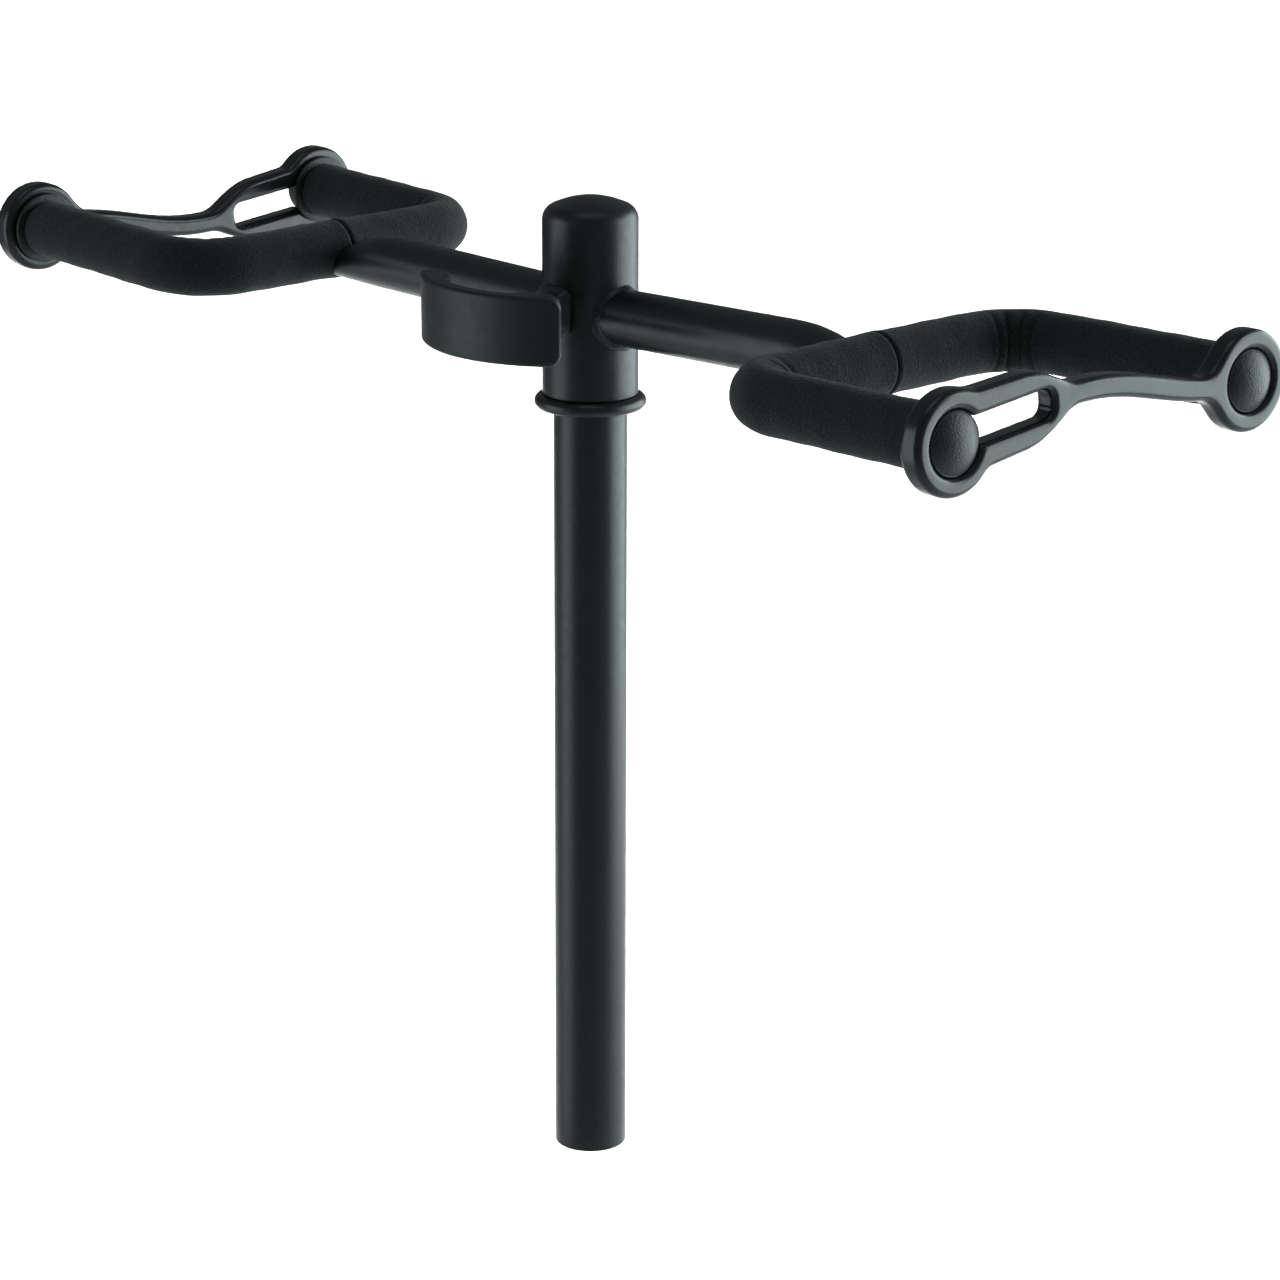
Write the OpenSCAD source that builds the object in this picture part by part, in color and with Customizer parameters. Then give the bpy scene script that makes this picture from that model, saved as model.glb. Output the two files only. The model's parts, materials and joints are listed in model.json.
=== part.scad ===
// Head of a two-guitar rack: a mast tube that carries a swivelling hub with two arms. Each arm ends
// in a foam-covered neck yoke, and a rubber strap closes the mouth of each yoke.
// Millimetres. The origin is the centre of the mast's open lower end, and +Z is up.

/* [Mast] */
// Outside diameter of the mast tube
mast_d = 25; // [24:0.5:26]
// Wall thickness of the mast tube
mast_wall = 1.5; // [1:0.1:2]
// Height of the arms' axis above the mast's lower end
arm_z = 302; // [200:1:400]
// Depth by which the mast is turned down where it runs in the bushings
journal_cut = 0.2; // [0.2:0.05:0.4]

/* [Hub] */
// Outside diameter of the hub sleeve
hub_d = 32.5; // [32:0.5:34]
// Wall thickness of the hub sleeve
hub_wall = 2; // [1.5:0.1:2]
// Length of the sleeve below the arms' axis
hub_below = 28; // [26:1:34]
// Height of the sleeve's straight side above the arms' axis
hub_above = 31.5; // [30:0.5:36]
// Height of the domed top
dome_h = 8; // [7:0.5:10]
// Radius of the bushing's flange
flange_r = 19; // [18:0.5:22]
// Thickness of the bushing's flange
flange_t = 4.8; // [3:0.1:6]

/* [Arms] */
// Outside diameter of the arm tubes
arm_d = 19.2; // [18:0.2:20]
// Wall thickness of the arm tubes
arm_wall = 1.5; // [1:0.1:2]
// Rise of each arm towards its outer end, degrees
arm_rise = 1.5; // [0:0.1:3]
// Bend between the two arms, seen from above, degrees
arm_bend = 1.5; // [0:0.1:3]

/* [Yokes] */
// Distance from the mast's axis to the yoke's back bar
yoke_x = 131; // [120:1:150]
// Diameter of the bent yoke rod
rod_d = 10; // [8:0.5:10]
// Radius of the rod's bends, on its centre line
bend_r = 20; // [14:1:24]
// Half width of the back bar towards the hook end
hook_half = 61.4; // [50:0.2:70]
// Half width of the back bar towards the anchor end
anchor_half = 64.3; // [50:0.2:70]
// Length of the yoke's side towards the hook end, to the middle of the strap
hook_side = 90.9; // [80:0.1:110]
// Lean of the yoke's sides towards the hook end, degrees
side_lean = 3.5; // [1:0.1:5]
// Outside diameter of the foam sleeves
foam_d = 20.2; // [17:0.2:21]

/* [Straps and end caps] */
// Radius of the button that the strap's ring goes over
button_r = 9.9; // [8:0.1:10]
// Outer radius of the strap's rings
ring_r = 16; // [15:0.1:18]
// Thickness of the strap, along the button
strap_t = 8; // [6:0.5:9]
// Height of the band between the two rings
band_h = 7.2; // [6:0.2:8]
// Height of the slot beside the hook ring
slot_h = 8.8; // [7:0.2:9]
// Length from the hook ring's centre to the slot's far end
slot_end = 39.8; // [36:0.2:44]
// Bow of the band above the line between the rings
band_bow = 7.7; // [0:0.1:10]

/* [Front plate] */
// Width of the curved plate
plate_w = 69; // [60:1:76]
// Height of the curved plate
plate_h = 23; // [20:1:28]
// Radius of the plate's front face
plate_r = 47; // [42:1:60]
// Distance from the mast's axis to the front of the plate
plate_front = 60; // [54:1:64]
// Thickness of the plate at its middle
plate_t = 6; // [5:0.5:7]

/* [Hidden] */
$fn = 64;

slack = 0.05;               // radial running fit of the mast in the bushings
air = 0.3;                  // gap between a moving strap and its neighbours
seam = 0.1;                 // half of the gap between the two foam sleeves of a yoke
mast_r = mast_d / 2;
journal_r = mast_r - journal_cut;
mast_top = arm_z + 22;
hub_r = hub_d / 2;
hub_bore_r = hub_r - hub_wall;
hub_low = arm_z - hub_below;
hub_shoulder = arm_z + hub_above;
ceiling_z = hub_shoulder + 2.5;
arm_r = arm_d / 2;
rod_r = rod_d / 2;
foam_r = foam_d / 2;
// the strap lies square to the yoke's sides, so the anchor side is the longer one
anchor_side = hook_side + (hook_half + anchor_half) * sin(side_lean);
span = (hook_half + anchor_half) * cos(side_lean);
cap_base = strap_t / 2 + 2; // from the strap's middle plane back to the foam's end
hole_r = button_r + 0.5;
hinge_v = span - 20;        // where the strap flexes, along the line from hook to anchor
knuckle = strap_t / 2;
bow_v = 57;                 // highest point of the bowed band
loop_v = 44;                // neck between the slotted loop and the band
loop_rise = 7.1;            // slope of the slotted loop, degrees
plate_z = arm_z + 4.5;      // height of the front plate's middle
black = [0.07, 0.07, 0.075];
foam_black = [0.11, 0.11, 0.115];
rubber_black = [0.05, 0.05, 0.055];

// ---- placing: the right side is built along +X and the left side is its half turn ----

module on_side(side) {
    turn = side > 0 ? 0 : 180 + arm_bend;
    translate([0, 0, arm_z])
        rotate([0, 0, turn])
            rotate([0, -arm_rise, 0])
                children();
}

// origin on the back bar's centre line, in front of the arm's nose
module on_yoke(side) {
    on_side(side) translate([yoke_x, 0, 0]) children();
}

// origin at the centre of the hook ring: +X outwards, +Y along the strap, +Z up
module on_strap(side) {
    on_yoke(side)
        translate([hook_side * cos(side_lean), -hook_half - hook_side * sin(side_lean), 0])
            rotate([0, 0, -side_lean])
                children();
}

// ---- mast and hub ----

module mast_tube() {
    color(black)
        difference() {
            union() {
                cylinder(r = mast_r, h = hub_low - flange_t);
                cylinder(r = journal_r, h = mast_top);
            }
            translate([0, 0, -1]) cylinder(r = mast_r - mast_wall, h = mast_top + 2);
        }
}

module mast_top_plug() {
    crown = 5;
    color("dimgray")
        rotate_extrude()
            polygon(concat(
                [[0, mast_top - 12], [mast_r - mast_wall, mast_top - 12], [mast_r - mast_wall, mast_top],
                 [journal_r - 0.3, mast_top], [journal_r - 0.3, mast_top + 3]],
                [for (a = [0:10:90]) [(journal_r - 1.5) * cos(a), mast_top + 3 + crown * sin(a)]]));
}

module thrust_pad() {
    pad_low = mast_top + 8 + air;
    color("ivory") translate([0, 0, pad_low]) cylinder(r = 10, h = ceiling_z - pad_low);
}

// flanged bushing: its rounded rim shows below the sleeve
module lower_bushing() {
    rim = flange_t / 2;
    color(black)
        translate([0, 0, hub_low])
            rotate_extrude()
                polygon(concat(
                    [[journal_r + slack, 20], [journal_r + slack, -flange_t]],
                    [for (a = [-90:15:90]) [flange_r - rim + rim * cos(a), -rim + rim * sin(a)]],
                    [[hub_bore_r, 0], [hub_bore_r, 20]]));
}

module upper_bushing() {
    color("ivory")
        translate([0, 0, arm_z + 6])
            difference() {
                cylinder(r = hub_bore_r, h = 16);
                translate([0, 0, -1]) cylinder(r = journal_r + slack, h = 18);
            }
}

module hub_sleeve() {
    corner = dome_h - 1.6;
    crown = 1.6;
    flat_r = hub_r - corner;
    color(black)
        rotate_extrude()
            polygon(concat(
                [[hub_bore_r, hub_low], [hub_r, hub_low]],
                [for (a = [0:7.5:75]) [flat_r + corner * cos(a), hub_shoulder + corner * sin(a)]],
                [for (k = [0.75:-0.25:0])
                    [flat_r * k, hub_shoulder + corner + crown * (1 - k * k)]],
                [[0, ceiling_z], [hub_bore_r, ceiling_z]]));
}

// ---- arms and yokes ----

// one upright slice across the arm's pressed nose: u along the arm from the back bar
module nose_slice(u, half_w, top, bottom) {
    translate([u, 0, (top + bottom) / 2])
        rotate([0, 90, 0])
            scale([(top - bottom) / 2, half_w, 1])
                cylinder(r = 1, h = 0.02, center = true, $fn = 32);
}

// the tube's end is pressed down from above into a flat tongue that runs under the yoke rod
module arm_nose() {
    hull() {
        nose_slice(-38, arm_r, arm_r, -arm_r);
        nose_slice(-30, arm_r + 0.1, arm_r - 0.3, -arm_r);
        nose_slice(-20, arm_r + 0.1, arm_r - 2, -arm_r + 0.2);
        nose_slice(-11, arm_r - 0.4, 2.8, -arm_r + 0.5);
        nose_slice(-5.5, arm_r - 0.8, -2.6, -arm_r + 0.8);
    }
    hull() {
        nose_slice(-5.5, arm_r - 0.8, -2.6, -arm_r + 0.8);
        nose_slice(4, arm_r - 2, -rod_r + 0.6, -arm_r + 1.2);
    }
}

module arm(side) {
    color(black)
        on_side(side)
            difference() {
                union() {
                    rotate([0, 90, 0]) cylinder(r = arm_r, h = yoke_x - 38);
                    translate([yoke_x, 0, 0]) arm_nose();
                }
                rotate([0, 90, 0]) cylinder(r = arm_r - arm_wall, h = yoke_x - 42);
                rotate([0, arm_rise, 0]) cylinder(r = hub_r, h = 60, center = true);
                translate([yoke_x, 0, 0]) rotate([90, 0, 0]) cylinder(r = rod_r, h = 60, center = true);
            }
}

// half of the yoke's centre line swept by a circle: from the arm's nose, round the bend and out.
// The straight side starts a little inside the bend and is a hair thinner, so that the two join.
module leg(r, half, turn, side_len, inset) {
    cut = bend_r * tan(turn / 2);
    lap = 0.5;
    translate([0, -inset, 0]) rotate([90, 0, 0]) cylinder(r = r, h = half - cut - inset);
    translate([bend_r, cut - half, 0]) {
        rotate([0, 0, 180]) rotate_extrude(angle = turn) translate([bend_r, 0]) circle(r = r);
        rotate([0, 0, 180 + turn])
            translate([bend_r, -lap, 0])
                rotate([-90, 0, 0])
                    cylinder(r = r - 0.02, h = side_len - cut + lap);
    }
}

module hook_leg(r, inset, short) {
    leg(r, hook_half, 90 - side_lean, hook_side - short, inset);
}

module anchor_leg(r, inset, short) {
    mirror([0, 1, 0]) leg(r, anchor_half, 90 + side_lean, anchor_side - short, inset);
}

module yoke_rod(side) {
    color("gray")
        on_yoke(side) {
            hook_leg(rod_r, -2, 1);
            anchor_leg(rod_r, -2, 1);
        }
}

// room in the foam's ends for the arm's pressed tongue
module tongue_notch() {
    translate([-12, -10, -12]) cube([16.3, 20, 14.4]);
}

module foam_hook(side) {
    color(foam_black)
        on_yoke(side)
            difference() {
                hook_leg(foam_r, seam, cap_base);
                hook_leg(rod_r + 0.05, -1, cap_base - 1);
                tongue_notch();
            }
}

module foam_anchor(side) {
    color(foam_black)
        on_yoke(side)
            difference() {
                anchor_leg(foam_r, seam, cap_base);
                anchor_leg(rod_r + 0.05, -1, cap_base - 1);
                tongue_notch();
            }
}

// ---- end caps ----

// v is the cap's place along the strap; the rod is pushed into its socket
module cap(side, v) {
    base_r = 12.6;              // the flange against the foam
    base_t = 1.6;
    side_x = 2.6;               // end of the button's straight side
    rise = 3.6;
    dome_r = (button_r * button_r + rise * rise) / (2 * rise);
    half_angle = asin(button_r / dome_r);
    color(black)
        on_strap(side)
            translate([0, v, 0])
                rotate([0, 90, 0])
                    rotate_extrude()
                        polygon(concat(
                            [[rod_r, -cap_base], [base_r, -cap_base], [base_r, -cap_base + base_t],
                             [button_r, -cap_base + base_t]],
                            [for (k = [0:5])
                                let (a = half_angle * (1 - k / 5))
                                [dome_r * sin(a), side_x + rise - dome_r * (1 - cos(a))]],
                            [[0, -1], [rod_r, -1]]));
}

// ---- straps ----

// height of the band's centre line above the line between the rings
function band_z(v) = v < bow_v
    ? band_bow - 0.9 * pow((bow_v - v) / (bow_v - loop_v), 2)
    : band_bow * (1 + cos(180 * min(1, (v - bow_v) / (112 - bow_v)))) / 2;

module band_outline() {
    steps = 17;
    vs = [for (i = [0:steps]) loop_v - 4 + (hinge_v - loop_v + 4) * i / steps];
    polygon(concat(
        [for (v = vs) [v, band_z(v) + band_h / 2]],
        [for (i = [steps:-1:0]) [vs[i], band_z(vs[i]) - band_h / 2]]));
}

// slotted loop beside the hook ring, with bevelled far corners that run into the neck
module loop_outline() {
    half_in = 12.6;
    half_out = 11.4;
    rotate([0, 0, loop_rise])
        translate([0, 1.4])
            polygon([
                [0, half_in], [slot_end - 6, half_out], [slot_end - 1, half_out - 2],
                [slot_end + 6.5, 3.6], [slot_end + 6.5, -3.6], [slot_end - 1, -half_out + 2],
                [slot_end - 6, -half_out], [0, -half_in]
            ]);
}

module slot_outline() {
    corner = 3.4;
    rotate([0, 0, loop_rise])
        translate([0, 1.4]) {
            translate([0, -slot_h / 2]) square([slot_end - corner, slot_h]);
            translate([0, corner - slot_h / 2]) square([slot_end, slot_h - 2 * corner]);
            for (s = [-1, 1])
                translate([slot_end - corner, s * (slot_h / 2 - corner)]) circle(r = corner, $fn = 24);
        }
}

// extrudes a strap outline through the strap's thickness; the left strap is the same moulding
// turned upside down
module strap_sheet(side) {
    rotate([90, 0, 90])
        linear_extrude(strap_t, center = true)
            mirror([0, side > 0 ? 0 : 1])
                children();
}

module strap_gate(side) {
    color(rubber_black)
        on_strap(side) {
            strap_sheet(side)
                difference() {
                    union() {
                        circle(r = ring_r);
                        loop_outline();
                        band_outline();
                    }
                    circle(r = hole_r);
                    slot_outline();
                }
            translate([0, hinge_v, (side > 0 ? 1 : -1) * band_z(hinge_v)])
                cylinder(r = knuckle, h = band_h, center = true);
        }
}

module strap_anchor(side) {
    neck_h = band_h + 2;
    color(rubber_black)
        on_strap(side)
            strap_sheet(side)
                translate([span, 0])
                    difference() {
                        union() {
                            circle(r = ring_r);
                            translate([hinge_v + knuckle + air - span, -neck_h / 2]) square([6, neck_h]);
                        }
                        circle(r = button_r + 0.1);
                    }
}

// ---- front plate ----

module plate_stem() {
    color(black)
        difference() {
            translate([-6, -plate_front + plate_t, arm_z - 3]) cube([12, plate_front - plate_t - 5, 12]);
            cylinder(r = hub_r, h = 400);
        }
}

module rounded_rect(w, h, r) {
    square([w - 2 * r, h], center = true);
    square([w, h - 2 * r], center = true);
    for (sx = [-1, 1], sy = [-1, 1])
        translate([sx * (w / 2 - r), sy * (h / 2 - r)]) circle(r = r);
}

// part of a ring round the plate's own centre, between two angles from its middle
module plate_sector(from, to, thick) {
    far = plate_r * 2;
    translate([0, plate_r - plate_front])
        intersection() {
            difference() {
                circle(r = plate_r, $fn = 128);
                circle(r = plate_r - thick, $fn = 128);
            }
            polygon([[0, 0], [far * sin(from), -far * cos(from)], [far * sin(to), -far * cos(to)]]);
        }
}

// plan of the plate: a curved web with a thicker pad turned back at each end
module plate_plan() {
    half_angle = asin(plate_w / 2 / plate_r);
    pad_angle = 17;
    pad_t = 11;
    plate_sector(-half_angle, half_angle, plate_t);
    plate_sector(-half_angle, pad_angle - half_angle, pad_t);
    plate_sector(half_angle - pad_angle, half_angle, pad_t);
}

module front_plate() {
    corner = 5;
    color(black)
        translate([0, 0, plate_z])
            intersection() {
                linear_extrude(plate_h, center = true) plate_plan();
                rotate([90, 0, 0])
                    linear_extrude(plate_front + 1) rounded_rect(plate_w, plate_h, corner);
            }
}

mast_tube();
mast_top_plug();
thrust_pad();
lower_bushing();
upper_bushing();
hub_sleeve();
arm(1);  // arm_right
arm(-1);  // arm_left
yoke_rod(1);  // yoke_rod_right
yoke_rod(-1);  // yoke_rod_left
foam_hook(1);  // foam_right_hook
foam_anchor(1);  // foam_right_anchor
foam_hook(-1);  // foam_left_hook
foam_anchor(-1);  // foam_left_anchor
cap(1, 0);  // cap_right_hook
cap(1, span);  // cap_right_anchor
cap(-1, 0);  // cap_left_hook
cap(-1, span);  // cap_left_anchor
strap_anchor(1);  // strap_right_anchor
strap_gate(1);  // strap_right_gate
strap_anchor(-1);  // strap_left_anchor
strap_gate(-1);  // strap_left_gate
plate_stem();
front_plate();
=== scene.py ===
import json
import math

import bmesh
import bpy
import numpy as np
from mathutils import Matrix, Vector


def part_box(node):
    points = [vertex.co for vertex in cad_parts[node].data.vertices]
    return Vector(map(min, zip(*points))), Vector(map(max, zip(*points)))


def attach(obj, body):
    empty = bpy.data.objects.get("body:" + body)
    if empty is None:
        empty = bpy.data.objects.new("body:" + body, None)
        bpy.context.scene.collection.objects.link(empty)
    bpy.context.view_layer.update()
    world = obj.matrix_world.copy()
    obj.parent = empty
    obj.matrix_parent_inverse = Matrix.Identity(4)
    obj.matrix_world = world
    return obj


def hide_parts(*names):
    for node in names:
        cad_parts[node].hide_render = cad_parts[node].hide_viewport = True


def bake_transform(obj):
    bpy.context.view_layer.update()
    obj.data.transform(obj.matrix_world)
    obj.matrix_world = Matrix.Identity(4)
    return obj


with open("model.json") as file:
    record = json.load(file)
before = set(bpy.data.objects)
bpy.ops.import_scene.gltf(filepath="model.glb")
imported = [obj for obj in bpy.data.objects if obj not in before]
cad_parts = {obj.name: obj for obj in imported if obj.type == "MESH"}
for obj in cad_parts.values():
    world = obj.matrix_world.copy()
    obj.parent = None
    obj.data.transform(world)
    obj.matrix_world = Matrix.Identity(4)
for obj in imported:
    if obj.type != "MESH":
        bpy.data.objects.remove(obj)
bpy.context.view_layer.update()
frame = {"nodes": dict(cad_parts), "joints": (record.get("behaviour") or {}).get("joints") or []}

# ---- sizes in metres, the same as the CAD part's ----

MM = 0.001
ARM_R = 9.6 * MM
YOKE_X = 131 * MM
ROD_R = 5 * MM
FOAM_R = 10.1 * MM
BEND_R = 20 * MM
HOOK_HALF = 61.4 * MM
ANCHOR_HALF = 64.3 * MM
HOOK_SIDE = 90.9 * MM
SIDE_LEAN = math.radians(3.5)
SEAM = 0.1 * MM
STRAP_T = 8 * MM
CAP_BACK = STRAP_T / 2 + 2 * MM
RING_R = 16 * MM
BUTTON_R = 9.9 * MM
BAND_H = 7.2 * MM
BAND_BOW = 7.7 * MM
SLOT_END = 39.8 * MM
SLOT_H = 8.8 * MM
LOOP_RISE = math.radians(7.1)
PLATE_W = 69 * MM
PLATE_H = 23 * MM
PLATE_R = 47 * MM
PLATE_T = 6 * MM
STEM_W = 12 * MM

SIDES = ("right", "left")
ENDS = ("hook", "anchor")


def joint(name):
    return next(j for j in frame["joints"] if j["name"] == name)


def centre(node):
    low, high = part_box(node)
    return (low + high) / 2


SWIVEL = Vector(joint("head_swivel")["pos_m"])
MAST_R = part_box("mast_tube")[1].x
HUB_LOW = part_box("hub_sleeve")[0].z
HUB_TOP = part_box("hub_sleeve")[1].z
HUB_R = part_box("hub_sleeve")[1].x
FLANGE_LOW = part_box("lower_bushing")[0].z
FLANGE_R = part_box("lower_bushing")[1].x
PLATE_FRONT = -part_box("front_plate")[0].y


# ---- places: one frame for each arm, yoke and strap, found from the strap's hinge ----

def axes_frame(origin, x, y, z):
    return Matrix((
        (x.x, y.x, z.x, origin.x),
        (x.y, y.y, z.y, origin.y),
        (x.z, y.z, z.z, origin.z),
        (0, 0, 0, 1),
    ))


def arm_frame(side):
    """Origin at the swivel, +X along the arm, +Z square to it and up."""
    up = Vector(joint(f"strap_{side}_flex")["axis"]).normalized()
    flat = Vector((-up.x, -up.y, 0))
    rise = flat.length
    along = flat.normalized() * up.z + Vector((0, 0, rise))
    return axes_frame(SWIVEL, along, up.cross(along), up)


def yoke_frame(side):
    """Origin on the back bar in front of the arm's nose."""
    return arm_frame(side) @ Matrix.Translation((YOKE_X, 0, 0))


def strap_frame(side):
    """Origin at the hook ring's centre: +X outwards, +Y along the strap, +Z up."""
    hook = Vector((HOOK_SIDE * math.cos(SIDE_LEAN), -HOOK_HALF - HOOK_SIDE * math.sin(SIDE_LEAN), 0))
    return yoke_frame(side) @ Matrix.Translation(hook) @ Matrix.Rotation(-SIDE_LEAN, 4, "Z")


SPAN = (centre("cap_right_anchor") - centre("cap_right_hook")).length


# ---- mesh making ----

def mesh_piece(name, verts, faces, place=None, sharp_deg=50):
    mesh = bpy.data.meshes.new(name)
    mesh.from_pydata([tuple(v) for v in verts], [], [tuple(f) for f in faces])
    if place is not None:
        mesh.transform(place)
    shell = bmesh.new()
    shell.from_mesh(mesh)
    bmesh.ops.recalc_face_normals(shell, faces=shell.faces)
    shell.to_mesh(mesh)
    shell.free()
    mesh.shade_smooth()
    mesh.set_sharp_from_angle(angle=math.radians(sharp_deg))
    piece = bpy.data.objects.new(name, mesh)
    bpy.context.scene.collection.objects.link(piece)
    return piece


def grid_faces(rows, columns, closed_rows=False):
    """Quads of a sheet of rows of points, each row closed on itself."""
    faces = []
    for i in range(rows if closed_rows else rows - 1):
        k = (i + 1) % rows
        for j in range(columns):
            n = (j + 1) % columns
            faces.append((i * columns + j, i * columns + n, k * columns + n, k * columns + j))
    return faces


def loft(name, rings, place=None, sharp_deg=50):
    """A closed skin over rings of equal point counts, with a fan at each end."""
    rings = np.asarray(rings, float)
    rows, columns = rings.shape[:2]
    verts = rings.reshape(-1, 3).tolist()
    faces = grid_faces(rows, columns)
    verts.append(rings[0].mean(0))
    verts.append(rings[-1].mean(0))
    first, last = rows * columns, rows * columns + 1
    for j in range(columns):
        n = (j + 1) % columns
        faces.append((first, n, j))
        faces.append((last, (rows - 1) * columns + j, (rows - 1) * columns + n))
    return mesh_piece(name, verts, faces, place, sharp_deg)


def revolve(name, profile, place=None, segments=128, sharp_deg=50):
    """A ring-shaped or solid turned piece: profile is (radius, height) pairs, closed on itself."""
    turn = np.arange(segments) * 2 * math.pi / segments
    rows = []
    for r, z in profile:
        r = max(r, 1e-6)
        rows.append(np.stack([r * np.cos(turn), r * np.sin(turn), np.full(segments, z)], -1))
    verts = np.concatenate(rows)
    faces = grid_faces(len(profile), segments, closed_rows=True)
    return mesh_piece(name, verts, faces, place, sharp_deg)


def arc(r, z, radius, start_deg, end_deg, steps):
    """Points of a rounded corner with its centre at (r, z)."""
    angles = np.radians(np.linspace(start_deg, end_deg, steps))
    return [(r + radius * math.cos(a), z + radius * math.sin(a)) for a in angles]


def surface_net(name, field, low, high, step, place=None):
    """Quads round the zero surface of field(x, y, z), with each vertex drawn onto it."""
    axes = [np.arange(a - 2 * step, b + 3 * step, step) for a, b in zip(low, high)]
    grid = np.stack(np.meshgrid(*axes, indexing="ij"), -1)
    value = field(grid[..., 0], grid[..., 1], grid[..., 2])
    cells = np.array(value.shape) - 1
    total = np.zeros((*cells, 3))
    count = np.zeros(cells, int)
    found = []
    for axis in range(3):
        near = np.take(value, range(cells[axis]), axis)
        far = np.take(value, range(1, cells[axis] + 1), axis)
        crossed = (near < 0) != (far < 0)
        share = np.where(crossed, near / np.where(crossed, near - far, 1), 0)
        point = np.take(grid, range(cells[axis]), axis).copy()
        point[..., axis] += share * step
        a, b = [k for k in range(3) if k != axis]
        for i in (0, 1):
            for j in (0, 1):
                window = [slice(0, cells[axis])] * 3
                window[a] = slice(i, cells[a] + i)
                window[b] = slice(j, cells[b] + j)
                hit = crossed[tuple(window)]
                total += point[tuple(window)] * hit[..., None]
                count += hit
        found.append((crossed, near < 0, a, b))
    used = count > 0
    index = np.full(cells, -1)
    index[used] = np.arange(used.sum())
    verts = total[used] / count[used][:, None]
    faces = []
    for axis, (crossed, near_inside, a, b) in enumerate(found):
        inner = [slice(None)] * 3
        inner[a] = slice(1, -1)
        inner[b] = slice(1, -1)
        edge = np.argwhere(crossed[tuple(inner)])
        edge[:, a] += 1
        edge[:, b] += 1
        step_a = np.eye(3, dtype=int)[a]
        step_b = np.eye(3, dtype=int)[b]
        loop = [edge - step_a - step_b, edge - step_b, edge, edge - step_a]
        quad = np.stack([index[tuple(c.T)] for c in loop], -1)
        outward = near_inside[tuple(edge.T)] != (axis == 1)
        quad[~outward] = quad[~outward][:, ::-1]
        faces.append(quad)
    nudge = step * 0.1
    for _ in range(3):
        here = field(*verts.T)
        slope = np.stack([
            (field(*(verts + nudge * e).T) - field(*(verts - nudge * e).T)) / (2 * nudge)
            for e in np.eye(3)
        ], -1)
        size = np.maximum((slope ** 2).sum(-1), 0.05)
        verts = verts - np.clip(here / size, -step, step)[:, None] * slope
    return mesh_piece(name, verts.tolist(), np.concatenate(faces).tolist(), place, 180)


# ---- distance fields for the moulded pieces ----

def smooth_min(a, b, k):
    h = np.clip(0.5 + 0.5 * (b - a) / k, 0, 1)
    return b * (1 - h) + a * h - k * h * (1 - h)


def smooth_max(a, b, k):
    return -smooth_min(-a, -b, k)


def rounded_join(a, b, r):
    """Inside both a and b, with the edge where they meet rounded to r."""
    qa, qb = a + r, b + r
    return np.minimum(np.maximum(qa, qb), 0) + np.hypot(np.maximum(qa, 0), np.maximum(qb, 0)) - r


def rounded_rect(x, y, half_x, half_y, r):
    return rounded_join(np.abs(x) - half_x, np.abs(y) - half_y, r)


# ---- materials ----

def node_material(name):
    material = bpy.data.materials.new(name)
    material.use_nodes = True
    nodes, links = material.node_tree.nodes, material.node_tree.links
    shader = nodes["Principled BSDF"]
    coordinates = nodes.new("ShaderNodeTexCoord").outputs["Object"]
    return material, nodes, links, shader, coordinates


def noise(nodes, links, coordinates, scale, detail=3.0, roughness=0.5):
    texture = nodes.new("ShaderNodeTexNoise")
    texture.inputs["Scale"].default_value = scale
    texture.inputs["Detail"].default_value = detail
    texture.inputs["Roughness"].default_value = roughness
    links.new(coordinates, texture.inputs["Vector"])
    return texture.outputs["Fac"]


def ramp(nodes, links, value, stops):
    """A colour ramp from (position, grey or colour) stops."""
    node = nodes.new("ShaderNodeValToRGB")
    elements = node.color_ramp.elements
    while len(elements) < len(stops):
        elements.new(0.5)
    for element, (position, colour) in zip(elements, stops):
        colour = (colour,) * 3 if isinstance(colour, float) else colour
        element.position = position
        element.color = (*colour, 1)
    links.new(value, node.inputs["Fac"])
    return node.outputs["Color"]


def bump(nodes, links, height, distance, strength, after=None):
    node = nodes.new("ShaderNodeBump")
    node.inputs["Distance"].default_value = distance
    node.inputs["Strength"].default_value = strength
    links.new(height, node.inputs["Height"])
    if after is not None:
        links.new(after, node.inputs["Normal"])
    return node.outputs["Normal"]


def powder_coat():
    """Satin black coating on steel: fine orange peel, a little dust and slight colour drift."""
    material, nodes, links, shader, at = node_material("coated_steel")
    links.new(ramp(nodes, links, noise(nodes, links, at, 60), [
        (0.3, (0.0072, 0.0082, 0.0085)), (0.7, (0.0105, 0.0118, 0.0122))]), shader.inputs["Base Color"])
    links.new(ramp(nodes, links, noise(nodes, links, at, 260, 5), [
        (0.3, 0.34), (0.7, 0.42)]), shader.inputs["Roughness"])
    peel = bump(nodes, links, noise(nodes, links, at, 1300, 2), 0.00012, 0.28)
    wave = bump(nodes, links, noise(nodes, links, at, 160, 1), 0.0004, 0.10, peel)
    links.new(wave, shader.inputs["Normal"])
    shader.inputs["Specular IOR Level"].default_value = 0.5
    return material


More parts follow.
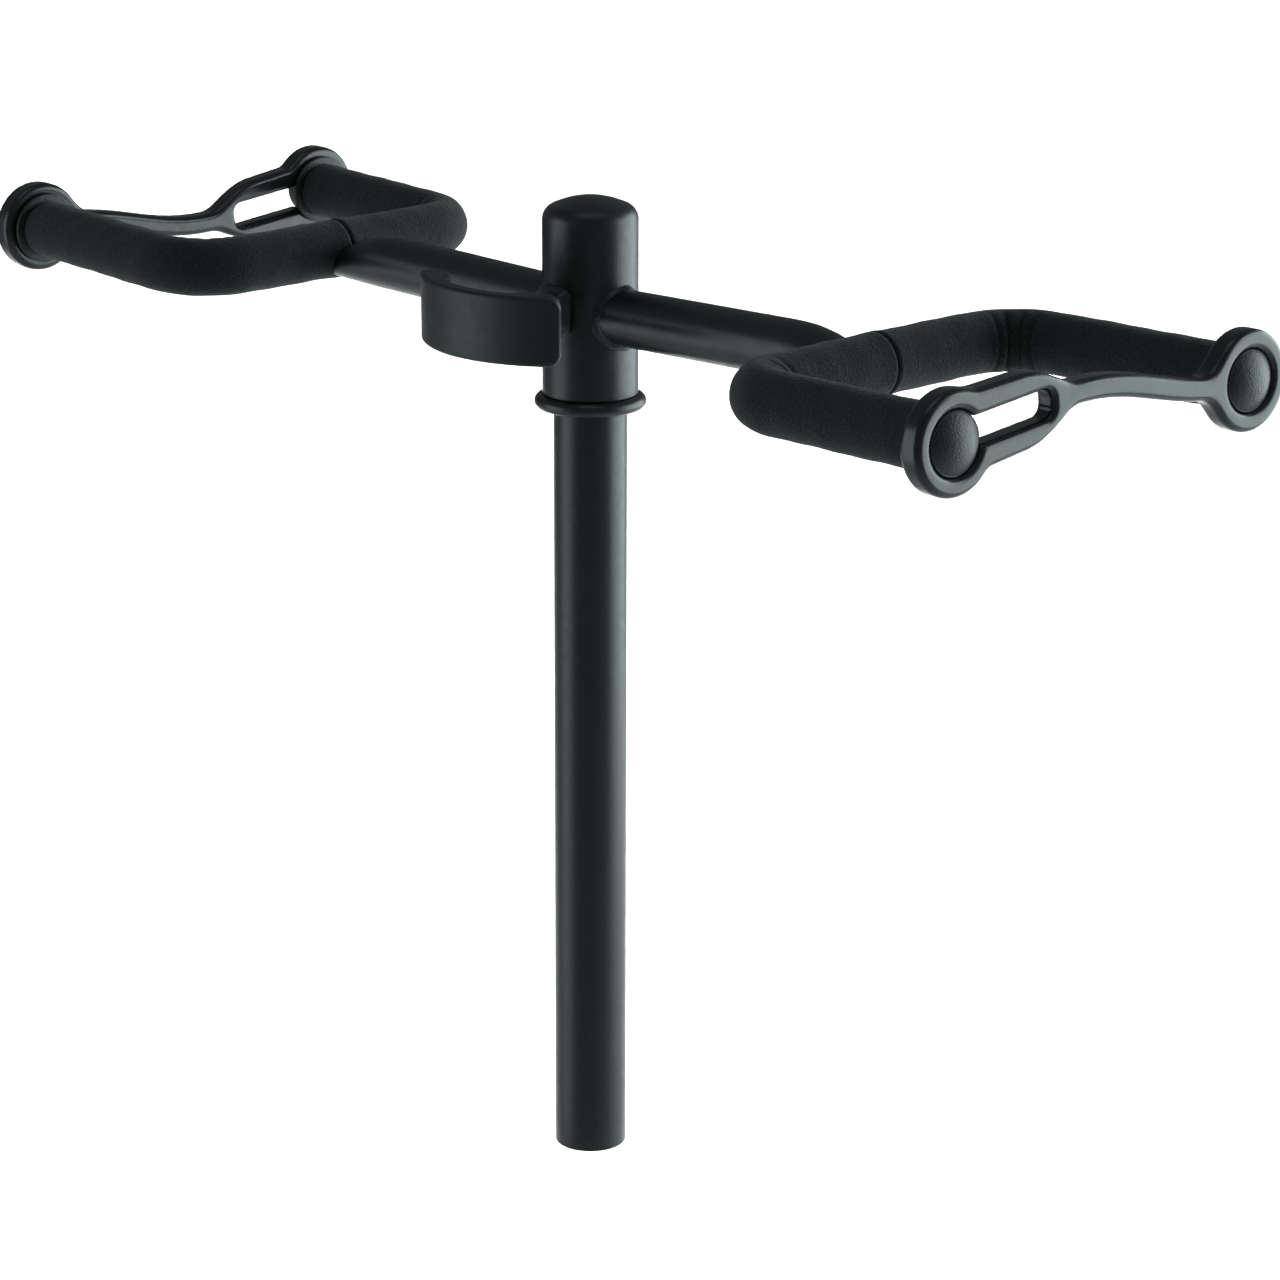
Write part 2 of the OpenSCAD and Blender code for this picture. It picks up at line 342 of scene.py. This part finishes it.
def foam_rubber():
    """Matte closed-cell foam: a fine speckle of cells over a soft mottling."""
    material, nodes, links, shader, at = node_material("foam")
    grain = noise(nodes, links, at, 2000, 3, 0.7)
    links.new(ramp(nodes, links, grain, [
        (0.30, (0.0055, 0.006, 0.0063)), (0.52, (0.014, 0.0152, 0.016)),
        (0.72, (0.038, 0.0402, 0.042))]), shader.inputs["Base Color"])
    cells = nodes.new("ShaderNodeTexVoronoi")
    cells.inputs["Scale"].default_value = 1300
    links.new(at, cells.inputs["Vector"])
    pits = bump(nodes, links, cells.outputs["Distance"], 0.0005, 0.45)
    lumps = bump(nodes, links, noise(nodes, links, at, 420, 2), 0.0006, 0.30, pits)
    links.new(lumps, shader.inputs["Normal"])
    shader.inputs["Roughness"].default_value = 0.93
    shader.inputs["Specular IOR Level"].default_value = 0.28
    shader.inputs["Sheen Weight"].default_value = 0.12
    shader.inputs["Sheen Roughness"].default_value = 0.45
    return material


def moulded_rubber(name, roughness):
    """Smooth moulded rubber with a satin skin, faint flow marks and a little dust."""
    material, nodes, links, shader, at = node_material(name)
    links.new(ramp(nodes, links, noise(nodes, links, at, 90), [
        (0.35, (0.0068, 0.0076, 0.0079)), (0.7, (0.0098, 0.0108, 0.0112))]), shader.inputs["Base Color"])
    links.new(ramp(nodes, links, noise(nodes, links, at, 210, 4), [
        (0.3, roughness - 0.03), (0.72, roughness + 0.05)]), shader.inputs["Roughness"])
    skin = bump(nodes, links, noise(nodes, links, at, 2400, 2), 0.00006, 0.25)
    links.new(skin, shader.inputs["Normal"])
    shader.inputs["Specular IOR Level"].default_value = 0.5
    return material


def grained_plastic(name, grain_strength, roughness):
    """Black plastic from an etched mould: a fine sandy grain."""
    material, nodes, links, shader, at = node_material(name)
    cells = nodes.new("ShaderNodeTexVoronoi")
    cells.inputs["Scale"].default_value = 1500
    links.new(at, cells.inputs["Vector"])
    links.new(ramp(nodes, links, noise(nodes, links, at, 900, 3), [
        (0.3, (0.008, 0.009, 0.0093)), (0.7, (0.014, 0.0152, 0.0158))]), shader.inputs["Base Color"])
    sand = bump(nodes, links, cells.outputs["Distance"], 0.00022, grain_strength)
    links.new(sand, shader.inputs["Normal"])
    links.new(ramp(nodes, links, noise(nodes, links, at, 300, 2), [
        (0.3, roughness - 0.03), (0.7, roughness + 0.04)]), shader.inputs["Roughness"])
    return material


def natural_nylon():
    """Off-white nylon of the hidden bushing, pad and plug."""
    material, nodes, links, shader, at = node_material("inner_plastic")
    links.new(ramp(nodes, links, noise(nodes, links, at, 150), [
        (0.3, (0.62, 0.59, 0.51)), (0.7, (0.70, 0.68, 0.61))]), shader.inputs["Base Color"])
    links.new(bump(nodes, links, noise(nodes, links, at, 1100), 0.0001, 0.2), shader.inputs["Normal"])
    shader.inputs["Roughness"].default_value = 0.45
    shader.inputs["Subsurface Weight"].default_value = 0.1
    return material


def zinc_rod():
    """Zinc-plated rod: drawn along its length, faintly mottled."""
    material, nodes, links, shader, at = node_material("rod_steel")
    links.new(ramp(nodes, links, noise(nodes, links, at, 220, 4), [
        (0.3, (0.42, 0.43, 0.44)), (0.7, (0.55, 0.56, 0.57))]), shader.inputs["Base Color"])
    links.new(bump(nodes, links, noise(nodes, links, at, 900), 0.0001, 0.2), shader.inputs["Normal"])
    shader.inputs["Metallic"].default_value = 1.0
    shader.inputs["Roughness"].default_value = 0.35
    return material


def backdrop_grey():
    material, nodes, links, shader, at = node_material("studio_floor")
    links.new(ramp(nodes, links, noise(nodes, links, at, 1.5), [
        (0.3, 0.86), (0.7, 0.88)]), shader.inputs["Base Color"])
    shader.inputs["Roughness"].default_value = 0.9
    return material


COAT = powder_coat()
FOAM = foam_rubber()
STRAP = moulded_rubber("strap_rubber", 0.26)
PLATE = moulded_rubber("plate_rubber", 0.48)
CAP = grained_plastic("cap_plastic", 0.40, 0.46)
BUSHING = grained_plastic("bushing_black", 0.12, 0.36)
NYLON = natural_nylon()
ZINC = zinc_rod()


def finish_piece(piece, material, slot, body, *nodes):
    """Gives a piece its material, sets it on its body, and hides the CAD nodes it stands for."""
    piece.data.materials.clear()
    piece.data.materials.append(material)
    if nodes:
        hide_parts(*nodes)
    if body is not None:
        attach(piece, body)
    return piece


# ---- mast and hub ----

def make_mast():
    low_edge = 0.5 * MM
    bore = MAST_R - 1.5 * MM
    journal = MAST_R - 0.2 * MM
    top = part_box("mast_tube")[1].z
    profile = arc(MAST_R - low_edge, low_edge, low_edge, -90, 0, 6)
    profile += [(MAST_R, z) for z in np.linspace(0.01, FLANGE_LOW - 0.05 * MM, 30)]
    profile += [(journal, FLANGE_LOW), (journal, top), (bore, top)]
    profile += arc(bore + 0.3 * MM, 0.3 * MM, 0.3 * MM, 180, 270, 4)
    piece = revolve("mast", profile, segments=160, sharp_deg=60)
    finish_piece(piece, COAT, "coated_steel", "mast", "mast_tube")


def make_hub():
    """Sleeve with a rounded shoulder and a slightly crowned top."""
    corner, crown = 5.6 * MM, 2.4 * MM
    shoulder = HUB_TOP - corner - crown
    flat = HUB_R - corner
    bore = HUB_R - 2 * MM
    edge = 0.6 * MM
    profile = arc(HUB_R - edge, HUB_LOW + edge, edge, -90, 0, 5)
    profile += [(HUB_R, z) for z in np.linspace(HUB_LOW + 4 * MM, shoulder, 16)]
    profile += arc(flat, shoulder, corner, 5, 75, 16)
    lip = flat + corner * math.cos(math.radians(75))
    rim = shoulder + corner * math.sin(math.radians(75))
    for k in np.linspace(0.94, 0, 14):
        profile.append((lip * k, HUB_TOP - (HUB_TOP - rim) * k * k))
    ceiling = shoulder + 2.5 * MM
    profile += [(0, ceiling), (bore, ceiling), (bore, HUB_LOW)]
    piece = revolve("hub_sleeve_shell", profile, segments=160, sharp_deg=55)
    finish_piece(piece, COAT, "coated_steel", "head", "hub_sleeve")


def make_lower_bushing():
    """Flanged bushing with a full round rim and a fine groove where it meets the sleeve."""
    bore = MAST_R - 0.15 * MM
    body_r = HUB_R - 2 * MM
    rim = (HUB_LOW - FLANGE_LOW) / 2
    profile = [(bore, HUB_LOW + 20 * MM), (bore, FLANGE_LOW + 0.5 * MM)]
    profile += arc(bore + 0.5 * MM, FLANGE_LOW + 0.5 * MM, 0.5 * MM, 180, 270, 5)
    profile += arc(FLANGE_R - rim, HUB_LOW - rim, rim, -90, 90, 26)
    profile += [(HUB_R + 0.2 * MM, HUB_LOW), (HUB_R - 0.2 * MM, HUB_LOW - 0.35 * MM),
                (body_r, HUB_LOW - 0.35 * MM), (body_r, HUB_LOW + 20 * MM)]
    piece = revolve("lower_bushing_turned", profile, segments=160, sharp_deg=60)
    finish_piece(piece, BUSHING, "bushing_black", "head", "lower_bushing")


# ---- arms ----

def nose_section(u):
    """Top, bottom and half width of the arm at u before the back bar's axis."""
    knots = np.array([-40, -34, -27, -20, -14, -9, -5.5, -2.5, 4]) * MM
    tops = np.array([9.6, 9.55, 9.0, 7.5, 5.0, 1.8, -1.8, -3.7, -4.4]) * MM
    lows = np.array([-9.6, -9.6, -9.6, -9.5, -9.3, -9.1, -8.9, -8.7, -8.5]) * MM
    wide = np.array([9.6, 9.65, 9.7, 9.6, 9.3, 8.8, 8.3, 7.8, 7.2]) * MM
    return smooth_read(u, knots, tops), smooth_read(u, knots, lows), smooth_read(u, knots, wide)


def smooth_read(u, knots, values):
    """Values between knots, eased over a short stretch so that no crease shows."""
    reach = 2.5 * MM
    spread = np.linspace(-1, 1, 9) * reach
    weight = np.cos(spread / reach * math.pi / 2) ** 2 + 1e-3
    return float((np.interp(u + spread, knots, values) * weight).sum() / weight.sum())


def make_arm(side):
    columns = 72
    turn = np.arange(columns) * 2 * math.pi / columns
    wide, tall = np.sin(turn), np.cos(turn)
    sleeve = HUB_R - 0.8 * MM
    start = np.sqrt(sleeve ** 2 - (ARM_R * wide) ** 2)
    rings = [np.stack([start, ARM_R * wide, ARM_R * tall], -1)]
    for x in np.linspace(19 * MM, YOKE_X - 41 * MM, 24):
        rings.append(np.stack([np.full(columns, x), ARM_R * wide, ARM_R * tall], -1))
    tip = 4 * MM
    for u in np.linspace(-40 * MM, tip, 60):
        top, low, half = nose_section(u)
        rings.append(np.stack([np.full(columns, YOKE_X + u), half * wide,
                               (top + low) / 2 + (top - low) / 2 * tall], -1))
    piece = loft(f"arm_{side}_swaged", rings, arm_frame(side))
    finish_piece(piece, COAT, "coated_steel", "head", f"arm_{side}")


def make_weld(side):
    """Lumpy fillet of weld round the arm where it meets the sleeve."""
    count, columns = 220, 9
    size, sunk, root_depth = 1.9, 0.15 * MM, 0.7 * MM
    hollowness = 1.4
    along = Vector((1, 0, 0))
    rings = []
    for t in np.arange(count) * 2 * math.pi / count:
        y, z = ARM_R * math.sin(t), ARM_R * math.cos(t)
        root = Vector((math.sqrt(HUB_R ** 2 - y ** 2), y, z))
        outward = Vector((0, math.sin(t), math.cos(t)))
        normal = Vector((root.x, root.y, 0)).normalized()
        up_hub = (outward - normal * outward.dot(normal)).normalized()
        ripple = 0.05 * math.sin(38 * t) + 0.22 * math.sin(5 * t + 1) + 0.16 * math.sin(9 * t)
        reach = (size + ripple) * MM
        on_arm = along * reach
        on_hub = up_hub * reach - normal * sunk
        ring = [root + on_arm * (1 - k) ** hollowness + on_hub * k ** hollowness
                for k in np.linspace(0, 1, columns)]
        ring.append(root - (normal + outward) * root_depth)
        rings.append(ring)
    verts = np.array(rings).reshape(-1, 3)
    faces = grid_faces(count, columns + 1, closed_rows=True)
    piece = mesh_piece(f"weld_{side}", verts, faces, arm_frame(side), 180)
    finish_piece(piece, COAT, "coated_steel", "head")


# ---- yokes ----

def leg_path(half, turn, side_length, start, end_short, step):
    """Points and inward directions along half of a yoke, from the seam round the bend and out.
    The path runs towards -Y and then +X."""
    cut = BEND_R * math.tan(turn / 2)
    bar = half - cut - start
    bend = BEND_R * turn
    straight = side_length - end_short - cut
    total = bar + bend + straight
    points, inward = [], []
    for s in np.linspace(0, total, int(total / step) + 1):
        if s <= bar:
            points.append((0, -start - s))
            inward.append((1, 0))
            continue
        angle = min((s - bar) / BEND_R, turn)
        p = np.array((BEND_R - BEND_R * math.cos(angle), cut - half - BEND_R * math.sin(angle)))
        left = max(0, s - bar - bend)
        forward = np.array((math.sin(angle), -math.cos(angle)))
        points.append(tuple(p + forward * left))
        inward.append((math.cos(angle), math.sin(angle)))
    return np.array(points), np.array(inward), total, bar + bend / 2


def make_foam(side, end):
    """A foam tube pushed over the rod: rounded cut ends, creases inside the bend, and a soft skin."""
    hook = end == "hook"
    half = HOOK_HALF if hook else ANCHOR_HALF
    lean = -SIDE_LEAN if hook else SIDE_LEAN
    longer = 0 if hook else (HOOK_HALF + ANCHOR_HALF) * math.sin(SIDE_LEAN)
    columns, step = 80, 0.8 * MM
    points, inward, total, bend_middle = leg_path(
        half, math.pi / 2 + lean, HOOK_SIDE + longer, SEAM, CAP_BACK, step)
    seed = 2.1 * SIDES.index(side) + 1.3 * ENDS.index(end)
    turn = np.arange(columns) * 2 * math.pi / columns
    rings = []
    for k, (p, n) in enumerate(zip(points, inward)):
        s = k * total / (len(points) - 1)
        radius = foam_radius(s, total, bend_middle, turn, seed)
        x = p[0] + n[0] * np.cos(turn) * radius
        y = p[1] + n[1] * np.cos(turn) * radius
        rings.append(np.stack([x, y if hook else -y, np.sin(turn) * radius], -1))
    if not hook:
        rings = [ring[::-1] for ring in rings]
    piece = loft(f"foam_{side}_{end}_sleeve", rings, yoke_frame(side), 70)
    finish_piece(piece, FOAM, "foam", "head", f"foam_{side}_{end}")


def foam_radius(s, total, bend_middle, turn, seed):
    edge = 1.3 * MM
    radius = np.full(turn.shape, FOAM_R)
    for from_end in (s, total - s):
        if from_end < edge:
            radius = radius - (edge - math.sqrt(max(edge ** 2 - (edge - from_end) ** 2, 0)))
    radius = radius + 0.6 * MM * math.exp(-s / (4 * MM))
    inner = np.clip(np.cos(turn), 0, 1) ** 1.3
    outer = np.clip(-np.cos(turn), 0, 1) ** 2
    off = s - bend_middle
    for place, depth in ((-9.5, 0.9), (-3.2, 2.3), (3.6, 1.6), (10.2, 0.8)):
        wander = 0.7 * MM * math.sin(3 * seed + place)
        radius = radius - depth * MM * inner * math.exp(-((off - place * MM - wander) / (1.3 * MM)) ** 2)
    radius = radius + 0.5 * MM * inner * math.exp(-(off / (13 * MM)) ** 2)
    radius = radius - 0.45 * MM * outer * math.exp(-(off / (12 * MM)) ** 2)
    lumps = np.sin(s * 310 + 2 * np.sin(turn) + seed) * np.sin(s * 127 + 3 * np.cos(turn) + 2 * seed)
    return radius + 0.13 * MM * lumps


# ---- end caps ----

def make_cap(side, end):
    """Cap with a thin flange against the foam and a domed button that the strap's ring goes over."""
    flange_r, flange_t = 12.6 * MM, 1.6 * MM
    edge = 0.6 * MM
    side_end, rise = 2.6 * MM, 3.6 * MM
    brow = 0.9 * MM
    dome_r = (BUTTON_R ** 2 + rise ** 2) / (2 * rise)
    lowest = -CAP_BACK
    profile = [(ROD_R, -1 * MM), (ROD_R, lowest)]
    profile += arc(flange_r - edge, lowest + edge, edge, -90, 0, 5)
    profile += arc(flange_r - edge, lowest + flange_t - edge, edge, 0, 90, 5)
    profile += arc(BUTTON_R + edge, lowest + flange_t + edge, edge, 270, 180, 5)
    profile += arc(BUTTON_R - brow, side_end - 0.2 * MM, brow, 0, 58, 7)
    half_angle = math.asin((BUTTON_R - 0.6 * MM) / dome_r)
    for a in np.linspace(half_angle, 0, 22):
        profile.append((dome_r * math.sin(a), side_end + rise - dome_r * (1 - math.cos(a))))
    profile.append((0, -1 * MM))
    place = 0 if end == "hook" else SPAN
    turned = strap_frame(side) @ Matrix.Translation((0, place, 0)) @ Matrix.Rotation(math.pi / 2, 4, "Y")
    piece = revolve(f"cap_{side}_{end}_button", profile, turned, 128, 60)
    finish_piece(piece, CAP, "cap_plastic", "head", f"cap_{side}_{end}")


# ---- straps ----

def band_height(v):
    """Height of the band's centre line over the line between the rings."""
    top, neck, foot = 57 * MM, 44 * MM, 112 * MM
    rise = BAND_BOW - 0.9 * MM * ((top - v) / (top - neck)) ** 2
    fall = BAND_BOW * (1 + np.cos(math.pi * np.clip((v - top) / (foot - top), 0, 1))) / 2
    return np.where(v < top, rise, fall)


def strap_outline(v, w):
    """Distance to the strap's outline in its own plane: rings, slotted loop and bowed band."""
    hook_ring = np.hypot(v, w) - RING_R
    anchor_ring = np.hypot(v - SPAN, w) - RING_R
    a = v * math.cos(LOOP_RISE) + w * math.sin(LOOP_RISE)
    b = -v * math.sin(LOOP_RISE) + w * math.cos(LOOP_RISE) - 1.4 * MM
    flank = np.abs(b) - 12.6 * MM + 0.035 * a
    shoulder = 0.612 * a + 0.791 * np.abs(b) - 31.2 * MM
    loop = smooth_max(smooth_max(flank, shoulder, 5 * MM), a - 46.3 * MM, 4 * MM)
    loop = smooth_max(loop, -a, 1 * MM)
    slope = (band_height(v + MM) - band_height(v - MM)) / (2 * MM)
    band = np.abs(w - band_height(v)) / np.sqrt(1 + slope ** 2) - BAND_H / 2
    band = np.maximum(band, np.maximum(42 * MM - v, v - SPAN))
    body = smooth_min(hook_ring, loop, 1.8 * MM)
    body = smooth_min(body, smooth_min(anchor_ring, band, 7 * MM), 6 * MM)
    slot = rounded_rect(a - SLOT_END / 2, b, SLOT_END / 2, SLOT_H / 2, 3.4 * MM)
    hook_hole = smooth_min(np.hypot(v, w) - BUTTON_R - 0.1 * MM, slot, 1.2 * MM)
    anchor_hole = np.hypot(v - SPAN, w) - BUTTON_R - 0.05 * MM
    return smooth_max(body, -np.minimum(hook_hole, anchor_hole), 0.6 * MM)


def make_strap(side):
    """One rubber moulding; the left one is the same moulding turned upside down."""
    edge = 2.1 * MM
    flip = 1 if side == "right" else -1

    def field(u, v, w):
        return rounded_join(strap_outline(v, flip * w), np.abs(u) - STRAP_T / 2, edge)

    reach = RING_R + 1 * MM
    step = 0.55 * MM
    piece = surface_net(f"strap_{side}", field, (-STRAP_T / 2, -reach, -reach),
                        (STRAP_T / 2, SPAN + reach, reach), step, strap_frame(side))
    finish_piece(piece, STRAP, "strap_rubber", None, f"strap_{side}_gate", f"strap_{side}_anchor")
    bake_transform(piece)


# ---- front plate and its stem ----

def make_front_plate():
    """Curved plate with a thicker pad turned back at each end, all edges rounded."""
    low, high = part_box("front_plate")
    middle = (low.z + high.z) / 2
    hollow = PLATE_R - PLATE_FRONT
    half_angle = math.asin(PLATE_W / 2 / PLATE_R)
    pad_extra, pad_length, pad_slope = 3.4 * MM, 19 * MM, 9 * MM
    end_taper, taper_length = 2.4 * MM, 7 * MM
    corner, edge = 4.5 * MM, 1.3 * MM

    def field(x, y, z):
        rho = np.hypot(x, y - hollow)
        past_end = np.abs(x) * math.cos(half_angle) + (y - hollow) * math.sin(half_angle)
        share = np.clip((past_end + pad_length) / pad_slope, 0, 1)
        thick = PLATE_T + pad_extra * share * share * (3 - 2 * share)
        thick = thick - end_taper * np.clip(1 + past_end / taper_length, 0, 1)
        shell = smooth_max(rho - PLATE_R, (PLATE_R - thick) - rho, 0.5 * MM)
        outline = rounded_join(past_end, np.abs(z - middle) - PLATE_H / 2, corner)
        return rounded_join(outline, shell, edge)

    step = 0.55 * MM
    piece = surface_net("front_plate_moulded", field, low, high, step)
    finish_piece(piece, PLATE, "plate_rubber", "head", "front_plate")


def make_stem():
    """Short square bar from the sleeve to the plate, with a fillet at each end."""
    low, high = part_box("plate_stem")
    middle = (low.z + high.z) / 2
    columns = 64
    turn = np.arange(columns) * 2 * math.pi / columns
    rings = []
    back = -HUB_R + 4 * MM
    front = -PLATE_FRONT + PLATE_T - 1.5 * MM
    for y in np.linspace(back, front, 40):
        near = 2.6 * MM * math.exp(-abs(y + HUB_R) / (1.6 * MM))
        far = 2.4 * MM * math.exp(-abs(y + PLATE_FRONT - PLATE_T) / (1.5 * MM))
        half = STEM_W / 2 + near + far
        power = 2 / 5
        x = half * np.sign(np.cos(turn)) * np.abs(np.cos(turn)) ** power
        z = half * np.sign(np.sin(turn)) * np.abs(np.sin(turn)) ** power
        rings.append(np.stack([x, np.full(columns, y), middle + z], -1))
    piece = loft("plate_stem_filleted", rings)
    finish_piece(piece, COAT, "coated_steel", "head", "plate_stem")


# ---- inner pieces keep their CAD shape ----

def dress_inner_nodes():
    inner = {"mast_top_plug": NYLON, "thrust_pad": NYLON, "upper_bushing": NYLON,
             "yoke_rod_right": ZINC, "yoke_rod_left": ZINC}
    for node, material in inner.items():
        mesh = frame["nodes"][node].data
        mesh.materials.clear()
        mesh.materials.append(material)


# ---- studio ----

CAMERA_YAW = math.radians(46.34)
CAMERA_PITCH = math.radians(16.73)
CAMERA_ROLL = 0.0036
CAMERA_BACK = 1.2755
CAMERA_RIGHT = 0.0171
CAMERA_UP = 0.268
CAMERA_LENS = 108.52


def make_camera():
    """The stand is seen from the front right and from a little above."""
    ahead = Vector((-math.sin(CAMERA_YAW), math.cos(CAMERA_YAW), 0))
    right = Vector((math.cos(CAMERA_YAW), math.sin(CAMERA_YAW), 0))
    place = SWIVEL - ahead * CAMERA_BACK + right * CAMERA_RIGHT + Vector((0, 0, CAMERA_UP))
    look = ahead * math.cos(CAMERA_PITCH) - Vector((0, 0, math.sin(CAMERA_PITCH)))
    up = right.cross(look)
    right, up = (right * math.cos(CAMERA_ROLL) + up * math.sin(CAMERA_ROLL),
                 up * math.cos(CAMERA_ROLL) - right * math.sin(CAMERA_ROLL))
    data = bpy.data.cameras.new("camera")
    data.lens = CAMERA_LENS
    data.sensor_width = 36
    data.clip_end = 100
    camera = bpy.data.objects.new("camera", data)
    bpy.context.scene.collection.objects.link(camera)
    camera.matrix_world = axes_frame(place, right, up, -look)
    bpy.context.scene.camera = camera


def softbox(name, bearing_deg, height, distance, width, tall, power, aim_height=0.25):
    """An area light at a bearing to the right of the camera, as seen from the mast."""
    bearing = CAMERA_YAW - math.pi / 2 + math.radians(bearing_deg)
    place = Vector((math.cos(bearing) * distance, math.sin(bearing) * distance, height))
    data = bpy.data.lights.new(name, "AREA")
    data.shape = "RECTANGLE"
    data.size = width
    data.size_y = tall
    data.energy = power
    data.color = (0.85, 0.98, 1.0)
    light = bpy.data.objects.new(name, data)
    light.location = place
    light.rotation_euler = (Vector((0, 0, aim_height)) - place).to_track_quat("-Z", "Y").to_euler()
    bpy.context.scene.collection.objects.link(light)
    return light


FLOOR_Z = -0.6


def make_studio():
    """A pale floor at the stand's foot height, large soft lights at both sides, and two lights
    behind the stand that shine straight down and whiten only the floor."""
    half = 30
    mesh = bpy.data.meshes.new("studio_floor")
    mesh.from_pydata([(-half, -half, FLOOR_Z), (half, -half, FLOOR_Z), (half, half, FLOOR_Z),
                      (-half, half, FLOOR_Z)], [], [(0, 1, 2, 3)])
    floor = bpy.data.objects.new("studio_floor", mesh)
    mesh.materials.append(backdrop_grey())
    bpy.context.scene.collection.objects.link(floor)
    world = bpy.data.worlds.new("studio")
    world.use_nodes = True
    background = world.node_tree.nodes["Background"]
    background.inputs["Color"].default_value = (0.85, 0.98, 1, 1)
    background.inputs["Strength"].default_value = 0.15
    bpy.context.scene.world = world
    softbox("key_right", 104, 0.32, 1.6, 2.0, 1.5, 44)
    softbox("fill_left", -80, 0.1, 1.6, 1.1, 1.6, 10)
    softbox("top", 0, 2.2, 0.5, 1.2, 1.2, 3)
    for name, depth, width, tall, power in (
            ("floor_near", 2.8, 2.4, 3.6, 62), ("floor_far", 7.3, 4.4, 5.4, 160)):
        light = softbox(name, 180, 2.5, depth, width, tall, power)
        light.rotation_euler = (0, 0, CAMERA_YAW)
        light.data.color = (1, 1, 1)
        light.data.spread = math.radians(40)
    bpy.context.scene.view_settings.view_transform = "Standard"


# ---- build ----

make_camera()
make_studio()
make_mast()
make_hub()
make_lower_bushing()
for side_name in SIDES:
    make_arm(side_name)
    make_weld(side_name)
    for end_name in ENDS:
        make_foam(side_name, end_name)
        make_cap(side_name, end_name)
    make_strap(side_name)
make_stem()
make_front_plate()
dress_inner_nodes()
